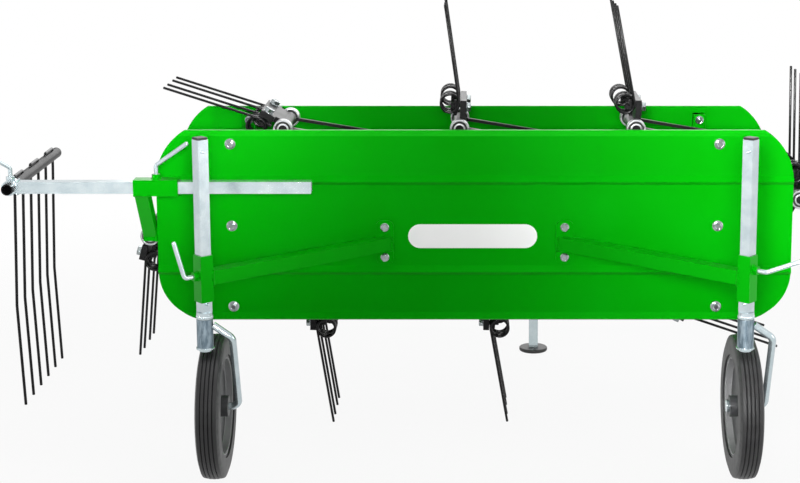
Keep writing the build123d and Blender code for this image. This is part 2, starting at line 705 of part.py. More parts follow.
def comb_tube():
    """Tube drilled right through for the legs of the hairpin tines."""
    outer = cylinder_y(COMB_TUBE_R, COMB_FRONT_Y, COMB_BACK_Y)
    solid = outer - cylinder_y(COMB_TUBE_R - COMB_TUBE_WALL, COMB_FRONT_Y, COMB_BACK_Y)
    for y in comb_legs():
        solid -= Pos(0, y, 0) * Cylinder(COMB_WIRE / 2 + RUN_FIT, 2 * COMB_TUBE_R)
    return Pos(COMB_X, 0, COMB_Z) * solid


def comb_plug():
    """Plug in the tube's rear end; its front end is open."""
    inner = COMB_TUBE_R - COMB_TUBE_WALL - SEAT_GAP
    head = cylinder_y(COMB_TUBE_R, COMB_BACK_Y, COMB_BACK_Y + PLUG)
    stem = cylinder_y(inner, COMB_BACK_Y - PLUG_DEEP, COMB_BACK_Y)
    return Pos(COMB_X, 0, COMB_Z) * (head + stem)


def comb_tines():
    """Hairpins over the tube, each with two legs that are bent a little at the knee."""
    bridge_z = COMB_TUBE_R + COMB_BRIDGE_R + SEAT_GAP
    straight_z = -2 * COMB_TUBE_R
    knee_z = COMB_KNEE_Z - COMB_Z
    knee_x = -(straight_z - knee_z) * tan(radians(COMB_UPPER_LEAN))
    tip_z = COMB_TIP_Z - COMB_Z
    tip_x = knee_x + (knee_z - tip_z) * tan(radians(COMB_LOWER_LEAN))
    legs = comb_legs()
    bends = [COMB_KNEE_R, COMB_KNEE_R, COMB_BRIDGE_R]
    pins = []
    for front, back in zip(legs[::2], legs[1::2]):
        side = [(0, straight_z), (knee_x, knee_z), (tip_x, tip_z)]
        route = [(x, front, z) for x, z in side[::-1]] + [(0, front, bridge_z)]
        route += [(0, back, bridge_z)] + [(x, back, z) for x, z in side]
        pins.append(Pos(COMB_X, 0, COMB_Z) * bent_rod(route, bends + bends[::-1], COMB_WIRE / 2))
    return pins


# Hitch, drive shaft and stand

def hitch():
    """Plate on the rear panel, tube and bolted flange, with the stand's sleeve on a side arm."""
    half = HITCH_PLATE / 2
    plate_back = REAR_OUT + HITCH_PLATE_THICK
    flange_front = HITCH_FACE_Y - FLANGE_THICK
    axis = Pos(0, 0, HITCH_Z)
    solid = block((-half, half), (REAR_OUT, plate_back), (HITCH_Z - half, HITCH_Z + half))
    solid += axis * cylinder_y(HITCH_TUBE_R, plate_back, flange_front)
    inside = SLEEVE - 2 * ARM_WALL
    tube_half = ARM_TUBE / 2
    solid += block((0, STAND_X - SLEEVE / 2), (STAND_Y - tube_half, STAND_Y + tube_half),
                   (STAND_ARM_Z - tube_half, STAND_ARM_Z + tube_half))
    solid -= axis * cylinder_y(HITCH_TUBE_R - HITCH_TUBE_WALL, plate_back, flange_front)
    solid -= axis * cylinder_y(DRIVE_HOLE_R, REAR_OUT, plate_back)
    solid += axis * cylinder_y(FLANGE_R, flange_front, HITCH_FACE_Y)
    solid -= axis * cylinder_y(DRIVE_SHAFT_R + RUN_FIT, flange_front, HITCH_FACE_Y)
    for i in range(FLANGE_BOLTS):
        angle = 2 * pi * (i + 0.5) / FLANGE_BOLTS
        place = Pos(FLANGE_PCD / 2 * cos(angle), 0, HITCH_Z + FLANGE_PCD / 2 * sin(angle))
        solid -= place * cylinder_y(FLANGE_HOLE_R, flange_front, HITCH_FACE_Y)
    sleeve = upright_tube(SLEEVE, STAND_SLEEVE_BOTTOM, STAND_SLEEVE_TOP, inside)
    face = Vector(STAND_X + SLEEVE / 2, STAND_Y, STAND_ARM_Z)
    solid += Pos(STAND_X, STAND_Y, 0) * sleeve + nut_on(face, (1, 0, 0))
    return solid - screw_hole(face, (1, 0, 0), ARM_WALL)


def drive_shaft():
    """Shaft from the chain case to the hitch face, with a stub for the tractor's sleeve."""
    start = PANEL_SPACE - UPRIGHT - CASE_BORE + SEAT_GAP
    shaft = cylinder_y(DRIVE_SHAFT_R, start, HITCH_FACE_Y)
    shaft += cylinder_y(DRIVE_STUB_R, HITCH_FACE_Y, HITCH_FACE_Y + DRIVE_STUB_OUT)
    return Pos(0, 0, HITCH_Z) * shaft


def stand_leg():
    tube = upright_tube(POST, FOOT_THICK, STAND_TOP, POST - 2 * ARM_WALL)
    return Pos(STAND_X, STAND_Y, 0) * tube


def stand_foot():
    return Pos(STAND_X, STAND_Y, FOOT_THICK / 2) * Cylinder(FOOT_R, FOOT_THICK)


def stand_clamp():
    tip = (STAND_X + POST / 2 + SCREW_GAP, STAND_Y, STAND_ARM_Z)
    elbow = SLIDE_FIT + ARM_WALL + NUT_HIGH + SCREW_FREE
    return clamp_screw(tip, (1, 0, 0), elbow, STAND_HANDLE)


front = panel()
write("front_panel", front)
write("rear_panel", rear_panel(front))
write("uprights", *uprights())
front_rail, rear_rail = rails()
write("front_rail", front_rail)
write("rear_rail", rear_rail)
write("cross_tubes", *cross_tubes())
write("belt", belt())
write("drive_pulley", pulley(1))
write("idler_pulley", pulley(-1))
write("chain_case", chain_case())
carriers, holders, tines = carrier_set()
write("tine_carriers", *carriers)
write("tine_holders", *holders)
write("spring_tines", *tines)
for side, screw_z, handle in POST_CLAMPS:
    word = "left" if side < 0 else "right"
    write(f"wheel_arm_{word}", wheel_arm(side, screw_z))
    write(f"post_clamp_{word}", post_clamp(side, screw_z, handle))
    write(f"post_{word}", post(side))
    write(f"post_cap_{word}", post_cap(side))
    write(f"caster_{word}", caster(side))
    write(f"wheel_rim_{word}", wheel_rim(side))
    write(f"tyre_{word}", tyre(side))
write("comb_bracket", comb_bracket())
write("bar_clamp", bar_clamp())
write("comb_bar", comb_bar())
write("ring_clamp", ring_clamp())
write("comb_tube", comb_tube())
write("comb_plug", comb_plug())
write("comb_tines", *comb_tines())
write("hitch", hitch())
write("drive_shaft", drive_shaft())
write("stand_leg", stand_leg())
write("stand_foot", stand_foot())
write("stand_clamp", stand_clamp())
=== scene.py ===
import json
from math import cos, pi, radians, sin

import bpy
from mathutils import Matrix, Vector


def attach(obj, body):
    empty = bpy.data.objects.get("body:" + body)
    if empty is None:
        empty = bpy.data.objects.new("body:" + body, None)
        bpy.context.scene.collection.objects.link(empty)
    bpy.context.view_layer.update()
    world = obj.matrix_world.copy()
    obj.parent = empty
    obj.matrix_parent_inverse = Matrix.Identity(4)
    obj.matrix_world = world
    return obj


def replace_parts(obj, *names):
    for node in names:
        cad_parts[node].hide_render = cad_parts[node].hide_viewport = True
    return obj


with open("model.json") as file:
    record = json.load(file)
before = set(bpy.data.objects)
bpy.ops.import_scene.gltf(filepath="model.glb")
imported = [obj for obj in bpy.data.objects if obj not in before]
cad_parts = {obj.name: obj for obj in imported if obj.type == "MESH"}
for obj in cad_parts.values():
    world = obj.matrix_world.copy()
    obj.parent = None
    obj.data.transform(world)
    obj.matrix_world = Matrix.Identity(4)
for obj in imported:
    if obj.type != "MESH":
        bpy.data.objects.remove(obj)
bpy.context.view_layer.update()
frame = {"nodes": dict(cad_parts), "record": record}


# Front and rear panel. Each is one sheet of 2 mm steel, folded into stiffening ridges with a hem
# along the top, and powder coated bright green. They are bolted to the uprights between them.

class Shade:
    """A value in a material's nodes. Sums, differences and products with it add Math nodes."""

    def __init__(self, tree, socket):
        self.tree = tree
        self.socket = socket

    def add(self, kind, settings, sockets, out=0):
        """Any other node: its settings are set first, then its sockets take values or links."""
        node = self.tree.nodes.new("ShaderNode" + kind)
        for key, value in settings.items():
            setattr(node, key, value)
        for key, value in sockets.items():
            self.feed(node.inputs[key], value)
        return Shade(self.tree, node.outputs[out])

    def feed(self, socket, value):
        if isinstance(value, Shade):
            self.tree.links.new(value.socket, socket)
        else:
            socket.default_value = value

    def maths(self, operation, left, right):
        return self.add("Math", {"operation": operation}, {0: left, 1: right})

    def __add__(self, other):
        return self.maths("ADD", self, other)

    def __sub__(self, other):
        return self.maths("SUBTRACT", self, other)

    def __rsub__(self, other):
        return self.maths("SUBTRACT", other, self)

    def __mul__(self, other):
        return self.maths("MULTIPLY", self, other)

    __radd__ = __add__
    __rmul__ = __mul__

    def band(self, low, high):
        """0 below low and 1 above high, with a smooth step between."""
        return self.add("MapRange", {"interpolation_type": "SMOOTHSTEP"}, {0: self, 1: low, 2: high})

    def tint(self, first, second):
        """A colour between two, with this value as the share of the second."""
        return self.add("Mix", {"data_type": "RGBA"}, {0: self, 6: (*first, 1), 7: (*second, 1)}, 2)

    def noise(self, scale, detail=2.0):
        """Clouded noise, with this value as its coordinates."""
        return self.add("TexNoise", {}, {"Vector": self, "Scale": scale, "Detail": detail})

    def relief(self, strength, depth):
        """Surface normals of this value taken as a height."""
        return self.add("Bump", {}, {"Strength": strength, "Distance": depth, "Height": self})


def new_finish(name, constants, paint):
    """A material with constants on its shader; paint turns coordinates into what varies on it."""
    material = bpy.data.materials.new(name)
    material.use_nodes = True
    tree = material.node_tree
    shader = tree.nodes["Principled BSDF"]
    for socket, value in constants.items():
        shader.inputs[socket].default_value = value
    place = Shade(tree, tree.nodes.new("ShaderNodeTexCoord").outputs["Object"])
    for socket, value in paint(place).items():
        place.feed(shader.inputs[socket], value)
    return material


def powder_coat(place):
    cloud = place.noise(9, 3)
    peel = place.noise(330, 2)
    return {"Base Color": cloud.tint((0.0, 0.240, 0.0), (0.0, 0.278, 0.002)),
            "Roughness": 0.30 + 0.12 * cloud,
            "Normal": peel.relief(0.10, 0.0006)}


green_coat = new_finish("green_powder_coat",
                        {"Specular IOR Level": 0.36, "Specular Tint": (0.06, 1.0, 0.06, 1)}, powder_coat)

body_of = {node: body for body, nodes in frame["record"]["behaviour"]["bodies"].items() for node in nodes}
SMOOTH_BELOW = 40     # degrees between two faces
SAME_POINT = 2e-6     # metres between two points
SAME_FLAT = 0.6       # degrees between two faces
SHEET_EDGE = 0.0006
FOLD = 14             # degrees; the shallow folds are rounded too


def alone(piece):
    """Deselect everything but one piece and make it active."""
    bpy.ops.object.select_all(action="DESELECT")
    piece.select_set(True)
    bpy.context.view_layer.objects.active = piece


def edit(piece):
    """Go on with one piece alone, in edit mode."""
    alone(piece)
    bpy.ops.object.mode_set(mode="EDIT")


def soften(piece, edge, angle=30, segments=2):
    """Round a piece's sharp edges, with flat faces left flat to the light."""
    alone(piece)
    bevel = piece.modifiers.new("edges", "BEVEL")
    bevel.width = edge
    bevel.segments = segments
    bevel.limit_method = "ANGLE"
    bevel.angle_limit = radians(angle)
    bpy.ops.object.modifier_apply(modifier=bevel.name)
    bpy.ops.object.shade_smooth_by_angle(angle=radians(SMOOTH_BELOW))
    piece.modifiers.new("flats", "WEIGHTED_NORMAL").keep_sharp = True
    bpy.ops.object.modifier_apply(modifier="flats")


def fix(piece, name, finish, body):
    """Name a finished piece, give it its finish and set it on its body."""
    piece.name = name
    piece.data.name = name
    piece.data.materials.clear()
    piece.data.materials.append(finish)
    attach(piece, body)
    return piece


def dress(node, name, edge, finish, angle=30, segments=2):
    """A copy of a CAD node with whole faces and rounded edges, which stands for the node."""
    piece = bpy.data.objects.new(name, frame["nodes"][node].data.copy())
    bpy.context.scene.collection.objects.link(piece)
    edit(piece)
    bpy.ops.mesh.select_all(action="SELECT")
    bpy.ops.mesh.remove_doubles(threshold=SAME_POINT)
    bpy.ops.mesh.dissolve_limited(angle_limit=radians(SAME_FLAT))
    bpy.ops.object.mode_set(mode="OBJECT")
    soften(piece, edge, angle, segments)
    fix(piece, name, finish, body_of[node])
    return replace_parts(piece, node)


for side in ("front", "rear"):
    dress(side + "_panel", "panel_" + side, SHEET_EDGE, green_coat, FOLD)


# Blank label on the front panel. Thick white vinyl with round ends, stuck on the flat between the
# ridges. Nothing is printed on it.
PANEL_FACE = -2
LABEL_PLACE = (-4, PANEL_FACE, 398)
LABEL_LONG = 0.244
LABEL_HIGH = 0.046
LABEL_THICK = 0.0006


def shop(x, y, z):
    """A place in the workshop's millimetres: from the front panel's inner face and the ground."""
    return Vector((x, y - 600, z - 400)) / 1000


def vinyl(place):
    grain = place.noise(900, 2)
    return {"Base Color": place.noise(14, 2).tint((0.80, 0.81, 0.80), (0.86, 0.86, 0.855)),
            "Roughness": 0.30 + 0.12 * grain,
            "Normal": grain.relief(0.05, 0.0002)}


label_white = new_finish("white_vinyl", {"Specular IOR Level": 0.4}, vinyl)
bpy.ops.mesh.primitive_plane_add(size=1)
label = bpy.context.object
edit(label)
bpy.ops.transform.resize(value=(LABEL_LONG, LABEL_HIGH, 1))
bpy.ops.mesh.select_all(action="SELECT")
bpy.ops.mesh.bevel(offset=LABEL_HIGH / 2 * 0.999, segments=16, affect="VERTICES")
bpy.ops.mesh.select_all(action="SELECT")
bpy.ops.mesh.extrude_region_move(TRANSFORM_OT_translate={"value": (0, 0, LABEL_THICK)})
bpy.ops.mesh.select_all(action="SELECT")
bpy.ops.mesh.normals_make_consistent(inside=False)
bpy.ops.object.mode_set(mode="OBJECT")
label.data.transform(Matrix.Translation(shop(*LABEL_PLACE)) @ Matrix.Rotation(pi / 2, 4, "X"))
soften(label, edge=0.0002, angle=50, segments=1)
fix(label, "blank_label", label_white, "frame")


# Screws that hold the panels to the uprights. Zinc plated flange screws with a six-sided head, three
# at each end of each panel, and nuts on the inner faces above and below the rails.
UPRIGHTS = (-459, 459)
SCREW_ROWS = (575, 418, 261)
NUT_ROWS = (575, 261)
REAR_FACE = 307
INNER_FACES = ((25, 1), (280, -1))
M8_ACROSS = 0.0130
M8_HEAD = 0.0055
M8_NUT = 0.0065


def facing(place, outward, turn=0.0):
    """Matrix that sets a piece modelled along Z at a place, with its Z outwards."""
    aim = Vector(outward).to_track_quat("Z", "Y").to_matrix().to_4x4()
    return Matrix.Translation(place) @ aim @ Matrix.Rotation(turn, 4, "Z")


def pick(piece, test):
    """Select a mesh's faces by a test of their normal, then go on in edit mode."""
    edit(piece)
    bpy.ops.mesh.select_mode(type="FACE")
    bpy.ops.mesh.select_all(action="DESELECT")
    bpy.ops.object.mode_set(mode="OBJECT")
    for face in piece.data.polygons:
        face.select = test(face.normal)
    bpy.ops.object.mode_set(mode="EDIT")


def turned(outline, steps=32):
    """A piece turned on the lathe: an outline of (radius, height) pairs spun round Z."""
    bpy.ops.mesh.primitive_plane_add(size=0.001)
    piece = bpy.context.object
    bpy.ops.object.mode_set(mode="EDIT")
    bpy.ops.mesh.select_mode(type="VERT")
    bpy.ops.mesh.select_all(action="SELECT")
    bpy.ops.mesh.merge(type="CENTER")
    bpy.ops.transform.translate(value=(outline[0][0], 0, outline[0][1]))
    for before, after in zip(outline, outline[1:]):
        step = (after[0] - before[0], 0, after[1] - before[1])
        bpy.ops.mesh.extrude_region_move(TRANSFORM_OT_translate={"value": step})
    bpy.ops.mesh.select_all(action="SELECT")
    bpy.ops.mesh.spin(steps=steps, angle=2 * pi, center=(0, 0, 0), axis=(0, 0, 1))
    bpy.ops.mesh.select_all(action="SELECT")
    bpy.ops.mesh.remove_doubles(threshold=SAME_POINT)
    bpy.ops.mesh.normals_make_consistent(inside=False)
    bpy.ops.object.mode_set(mode="OBJECT")
    return piece


def joined(pieces):
    """Several meshes as one piece."""
    bpy.ops.object.select_all(action="DESELECT")
    for piece in pieces:
        piece.select_set(True)
    bpy.context.view_layer.objects.active = pieces[0]
    bpy.ops.object.join()
    return bpy.context.object


def copies(pattern, places):
    """One piece made of copies of a pattern, each with its own mesh, at a list of matrices."""
    made = []
    for place in places:
        piece = bpy.data.objects.new(pattern.name, pattern.data.copy())
        bpy.context.scene.collection.objects.link(piece)
        piece.data.transform(place)
        made.append(piece)
    bpy.data.objects.remove(pattern)
    return joined(made)


def screw_head(across, high, flange=0, flange_high=0):
    """Six-sided head with a chamfered crown and a dished top, on a round flange if it has one."""
    bpy.ops.mesh.primitive_cylinder_add(vertices=6, radius=across / 2 / cos(pi / 6), depth=high,
                                        location=(0, 0, flange_high + high / 2))
    bpy.ops.object.transform_apply(location=True)
    head = bpy.context.object
    pick(head, lambda normal: normal.z > 0.9)
    bpy.ops.mesh.inset(thickness=across * 0.10, depth=across * 0.05)
    bpy.ops.mesh.inset(thickness=across * 0.08, depth=-across * 0.05)
    bpy.ops.object.mode_set(mode="OBJECT")
    soften(head, across * 0.025, 20)
    if not flange:
        return head
    rim = flange / 2
    washer = turned([(0, 0), (rim, 0), (rim, flange_high * 0.35), (rim * 0.94, flange_high * 0.6),
                     (across * 0.52, flange_high * 1.25), (0, flange_high * 1.25)], 28)
    soften(washer, flange_high * 0.15, 35)
    return joined([head, washer])


def nut_on_thread(across, high):
    """Six-sided nut with a washer face, and the end of a screw standing out of it."""
    thread = across * 0.3
    tip = high * 1.6
    end = turned([(0, 0), (thread, 0), (thread, high * 1.45), (thread * 0.8, tip), (0, tip)], 16)
    soften(end, across * 0.02, 35)
    return joined([screw_head(across, high, across * 1.3, high * 0.2), end])


def passivated(place):
    grain = place.noise(700, 3)
    cloud = place.noise(120, 2)
    return {"Base Color": cloud.tint((0.14, 0.17, 0.18), (0.42, 0.45, 0.45)),
            "Roughness": 0.14 + 0.10 * grain,
            "Normal": grain.relief(0.05, 0.0002)}


screw_zinc = new_finish("screw_zinc", {"Metallic": 0.9}, passivated)
places = [facing(shop(x, y, z), (0, way, 0), x + z) for y, way in ((PANEL_FACE, -1), (REAR_FACE, 1))
          for x in UPRIGHTS for z in SCREW_ROWS]
panel_screws = copies(screw_head(M8_ACROSS, M8_HEAD, flange=0.021, flange_high=0.0022), places)
fix(panel_screws, "panel_screws", screw_zinc, "frame")
places = [facing(shop(x, y, z), (0, way, 0), z) for x in UPRIGHTS for z in NUT_ROWS
          for y, way in INNER_FACES]
panel_nuts = copies(nut_on_thread(M8_ACROSS, M8_NUT), places)
fix(panel_nuts, "panel_nuts", screw_zinc, "frame")


# Frame behind the panels: four upright square tubes, a deep rail along each panel and two cross
# tubes, all welded and coated green with the panels.
TUBE_EDGE = 0.0012
RAIL_END = 446.5
RAIL_LOW, RAIL_TOP = 349, 425
RIPPLE_STEP = 0.42    # of a weld's width


def ripple():
    """One ripple of a weld, a flat lump that leans along the run."""
    bpy.ops.mesh.primitive_uv_sphere_add(segments=8, ring_count=5, radius=1)
    lump = bpy.context.object
    edit(lump)
    bpy.ops.mesh.select_all(action="SELECT")
    bpy.ops.transform.resize(value=(1.0, 0.62, 0.48))
    bpy.ops.transform.rotate(value=-0.35, orient_axis="X", center_override=(0, 0, 0))
    bpy.ops.object.mode_set(mode="OBJECT")
    bpy.ops.object.shade_smooth()
    return lump


def weld_run(start, end, out, wide):
    """Places of a weld's ripples along a straight line."""
    run = end - start
    along = run.normalized()
    up = Vector(out).normalized()
    turn = Matrix((along.cross(up), along, up)).transposed().to_4x4()
    count = int(run.length / (wide * RIPPLE_STEP))
    places = []
    for i in range(count + 1):
        uneven = 1 + 0.1 * sin(7 * i)
        spot = Matrix.Translation(start + run * i / count)
        places.append(spot @ turn @ Matrix.Scale(wide / 2 * uneven, 4))
    return places


for node, name in (("uprights", "upright_tubes"), ("front_rail", "rail_front"),
                   ("rear_rail", "rail_rear"), ("cross_tubes", "cross_bars")):
    dress(node, name, TUBE_EDGE, green_coat)
rail_welds = []
for x in (-RAIL_END, RAIL_END):
    for y, way in INNER_FACES:
        rail_welds += weld_run(shop(x, y, RAIL_LOW), shop(x, y, RAIL_TOP), (-x / 900, way, 0), wide=0.006)
fix(copies(ripple(), rail_welds), "rail_welds", green_coat, "frame")


# Belt, pulleys and chain case. A flat rubber belt with a fabric carcass runs on two cast pulleys,
# painted black, whose shafts turn in the uprights. A green sheet case covers the drive chain.

def belt_rubber(place):
    weave = place.add("TexWave", {"wave_type": "BANDS", "bands_direction": "Y"},
                      {"Vector": place, "Scale": 160, "Distortion": 0.6, "Detail": 1})
    cloud = place.noise(45, 3)
    return {"Base Color": cloud.tint((0.012, 0.012, 0.013), (0.032, 0.031, 0.030)),
            "Roughness": 0.62 + 0.2 * cloud,
            "Normal": (weave + 0.6 * cloud).relief(0.25, 0.0006)}


def black_paint(place):
    cloud = place.noise(30, 3)
    return {"Base Color": cloud.tint((0.004, 0.004, 0.004), (0.011, 0.011, 0.012)),
            "Roughness": 0.30 + 0.14 * cloud,
            "Normal": place.noise(260, 2).relief(0.06, 0.0004)}


black_rubber = new_finish("belt_rubber", {"Specular IOR Level": 0.35}, belt_rubber)
black_coat = new_finish("black_paint", {"Specular IOR Level": 0.11}, black_paint)
dress("belt", "belt_band", edge=0.0012, finish=black_rubber)
for use in ("drive", "idler"):
    dress(use + "_pulley", "pulley_" + use, edge=0.0010, finish=black_coat)
dress("chain_case", "chain_housing", edge=0.0025, finish=green_coat)


# Tine carriers. Welded steel links, painted black, trail from base plates on the belt; a pin across
# their ends carries a steel roller at each side and the clamp that holds two double tines.
dress("tine_carriers", "carrier_links", SHEET_EDGE, black_coat)
dress("tine_holders", "tine_clamps", edge=0.0010, finish=black_coat)


# Rollers on the carriers' pins, at one pitch round the belt. Each is a sealed ball bearing of bright
# steel: an outer and an inner ring with a black rubber seal between them, pressed on the pin.
AXLE_X = 0.459
AXLE_Z = 0.016
BELT_Y = -0.4475
PITCH_R = 0.1394
PIVOT_R = 0.174
RUN = 2 * AXLE_X
BEND = pi * PITCH_R
LOOP = 2 * (RUN + BEND)
CARRIERS = 8
FIRST_CARRIER = 0.091
ROLLER_Y = 0.071
RING_HALF = [(0.0082, 0.0071), (0.0082, 0.0077), (0.0105, 0.0077), (0.0109, 0.0073), (0.0149, 0.0073),
             (0.0153, 0.0077), (0.0177, 0.0077), (0.0187, 0.0067)]
SEAL_FROM, SEAL_TO = 0.0110, 0.0148


def on_belt(travel, radius):
    """Matrix at a length along the belt: X with its travel, Z outwards."""
    travel = travel % LOOP
    lower = travel >= LOOP / 2
    rest = travel - (LOOP / 2 if lower else 0)
    turn = max(rest - RUN, 0) / PITCH_R
    side = -1 if lower else 1
    x = side * (min(rest, RUN) - AXLE_X + radius * sin(turn))
    z = AXLE_Z + side * radius * cos(turn)
    return Matrix.Translation((x, BELT_Y, z)) @ Matrix.Rotation(turn + (pi if lower else 0), 4, "Y")


def roller_steel(place):
    grain = place.noise(300, 3)
    return {"Base Color": grain.tint((0.24, 0.25, 0.26), (0.46, 0.47, 0.48)),
            "Roughness": 0.28 + 0.2 * grain,
            "Normal": grain.relief(0.08, 0.0003)}


bright_steel = new_finish("bright_steel", {"Metallic": 1.0}, roller_steel)
pivots = [on_belt(FIRST_CARRIER + i * LOOP / CARRIERS, PIVOT_R) for i in range(CARRIERS)]
bearing = turned(RING_HALF + [(r, -z) for r, z in RING_HALF[::-1]], 28)
soften(bearing, edge=0.0002, angle=35, segments=1)
sealed = [SEAL_FROM < face.center.xy.length < SEAL_TO for face in bearing.data.polygons]
bearings = copies(bearing, [pivot @ facing((0, y, 0), (0, 1, 0))
                            for pivot in pivots for y in (-ROLLER_Y, ROLLER_Y)])
fix(bearings, "roller_bearings", bright_steel, "frame")
bearings.data.materials.append(black_rubber)
for i, face in enumerate(bearings.data.polygons):
    face.material_index = int(sealed[i % len(sealed)])


# Double tines. One 5 mm spring wire each: a long leg, three close turns, a bridge under the clamp,
# and the same again mirrored. Painted gloss black.
WIRE = 0.005
WIRE_SIDES = 10
COIL_R = 0.0175
COIL_PITCH = WIRE * 1.02
COIL_STEPS = 28
TURNS = 3
COIL_LONG = TURNS * COIL_PITCH
TINE_LEAN = radians(11)
TINE_LONG = 0.190
TINE_SPACE = 0.045
BRIDGE_BEND = 0.0045
BRIDGE_DROP = 0.008
FOLDS = (61, -3, 0, 68, 60, -1, -2, 62)    # degrees, one for each carrier
PAIR_OFFSET = 0.051
COIL_PLACE = Vector((-0.021, 0, 0.048))


def open_end(piece, test):
    """Select one open end of a wire by a test of its points, in edit mode."""
    edit(piece)
    bpy.ops.mesh.select_mode(type="VERT")
    bpy.ops.mesh.select_all(action="DESELECT")
    bpy.ops.mesh.select_non_manifold(extend=False)
    bpy.ops.object.mode_set(mode="OBJECT")
    for line in piece.data.edges:
        line.select = False
    for point in piece.data.vertices:
        point.select = point.select and test(point.co)
    bpy.ops.object.mode_set(mode="EDIT")


def push(x, y, z):
    """Extrude what is selected."""
    bpy.ops.mesh.extrude_region_move(TRANSFORM_OT_translate={"value": (x, y, z)})


def gloss_wire(place):
    cloud = place.noise(60, 3)
    return {"Base Color": cloud.tint((0.003, 0.003, 0.003), (0.009, 0.009, 0.010)),
            "Roughness": 0.12 + 0.10 * cloud,
            "Normal": place.noise(200, 2).relief(0.02, 0.0003)}


gloss_black = new_finish("gloss_black_wire", {"Specular IOR Level": 0.18}, gloss_wire)
bpy.ops.mesh.primitive_circle_add(vertices=WIRE_SIDES, radius=WIRE / 2, location=(COIL_R, 0, 0))
bpy.ops.object.transform_apply(location=True)
tine = bpy.context.object
coil = tine.modifiers.new("coil", "SCREW")
coil.axis = "Y"
coil.angle = 2 * pi + TINE_LEAN / TURNS
coil.screw_offset = COIL_PITCH
coil.iterations = TURNS
coil.steps = coil.render_steps = COIL_STEPS
bpy.ops.object.modifier_apply(modifier="coil")
tine.data.transform(Matrix.Rotation(-TINE_LEAN, 4, "Y"))
open_end(tine, lambda co: co.y < WIRE)
push(-sin(TINE_LEAN) * TINE_LONG, 0, cos(TINE_LEAN) * TINE_LONG)
bpy.ops.mesh.edge_face_add()
bpy.ops.mesh.bevel(offset=WIRE * 0.25, segments=2, affect="EDGES")
bpy.ops.object.mode_set(mode="OBJECT")
open_end(tine, lambda co: co.y > COIL_LONG - WIRE and co.x > 0 and abs(co.z) < WIRE / 4)
push(0, 0, BRIDGE_BEND - BRIDGE_DROP)
bend_middle = (COIL_R, COIL_LONG + BRIDGE_BEND, BRIDGE_BEND - BRIDGE_DROP)
bpy.ops.mesh.spin(steps=5, angle=-pi / 2, center=bend_middle, axis=(1, 0, 0))
push(0, TINE_SPACE / 2 - COIL_LONG - BRIDGE_BEND, 0)
bpy.ops.object.mode_set(mode="OBJECT")
tine.data.transform(Matrix.Translation((0, -TINE_SPACE / 2, 0)))
alone(tine)
other = tine.modifiers.new("other_half", "MIRROR")
other.use_axis = (False, True, False)
other.merge_threshold = 1e-5
bpy.ops.object.modifier_apply(modifier="other_half")
edit(tine)
bpy.ops.mesh.select_all(action="SELECT")
bpy.ops.mesh.remove_doubles(threshold=1e-6)
bpy.ops.mesh.normals_make_consistent(inside=False)
bpy.ops.object.mode_set(mode="OBJECT")
bpy.ops.object.shade_smooth_by_angle(angle=radians(50))
clamps = [pivot @ Matrix.Rotation(-radians(fold), 4, "Y") for pivot, fold in zip(pivots, FOLDS)]
pairs = [clamp @ Matrix.Translation((0, side * PAIR_OFFSET, 0)) for clamp in clamps for side in (-1, 1)]
tines = copies(tine, [pair @ Matrix.Translation(COIL_PLACE) for pair in pairs])
fix(tines, "double_tines", gloss_black, "frame")
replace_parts(tines, "spring_tines")


# Clamp screws and keeper plates of the tines. A bright screw through each clamp pulls a small black
# plate against the bridge of the wire, between its two coils.
SCREW_UP = 0.040
CLAMP_FACE = 0.011
KEEPER_SIZE = (0.006, 0.012, 0.030)
KEEPER_PLACE = (-0.0095, 0, 0.038)
KEEPER_FACE = -0.0125
keeper_screws = copies(screw_head(across=0.017, high=0.0064, flange=0.021, flange_high=0.0016),
                       [pair @ facing((CLAMP_FACE, 0, SCREW_UP), (1, 0, 0), 0.4) for pair in pairs])
fix(keeper_screws, "clamp_screws", screw_zinc, "frame")
bpy.ops.mesh.primitive_cube_add(size=1, location=KEEPER_PLACE)
keeper = bpy.context.object
keeper.scale = KEEPER_SIZE
bpy.ops.object.transform_apply(location=True, scale=True)
soften(keeper, edge=0.0012)
nut = screw_head(M8_ACROSS, M8_NUT)
nut.data.transform(facing((KEEPER_FACE, 0, SCREW_UP), (-1, 0, 0)))
keepers = copies(joined([keeper, nut]), pairs)
fix(keepers, "keeper_plates", black_coat, "frame")


# Wheel arms. Square tube welded to a plate on the panel and to the sleeve of the post, with a nut
# welded on for the clamp screw; coated green. Two screws hold each plate.
PLATE_FACE = -7
PLATES = (-170, 170)
PLATE_ROWS = (416, 358)
POST_X, POST_Y = 474, -262
ARM_WAY = Vector((304, -260, 0)).normalized()
ARM_HALF = 12
ARM_TOP, ARM_LOW = 397, 371
ARM_END = 13            # from the post's middle
SIDE_LOW, SIDE_TOP = 372, 396
SLEEVE_HALF = 12.5
FOOT_FROM, FOOT_MID, FOOT_TO = 156.5, 158, 185
CLAMP_NUTS = ((-1, 389), (1, 400))
NUT_R = 0.0086
NUT_WELD = 0.005
WELD = 0.0065


def weld_ring(middle, axis, radius, wide, lift=1.0):
    """Places of a weld's ripples round a tube or nut; lift sets how far they face along its axis."""
    base = facing(middle, axis)
    count = int(2 * pi * radius / (wide * RIPPLE_STEP))
    lean = Matrix.Rotation(radians(90 - 45 * lift), 4, "Y")
    places = []
    for i in range(count):
        uneven = 1 + 0.12 * sin(5 * i)
        turn = base @ Matrix.Rotation(2 * pi * i / count, 4, "Z") @ Matrix.Translation((radius, 0, 0))
        places.append(turn @ lean @ Matrix.Scale(wide / 2 * uneven, 4))
    return places


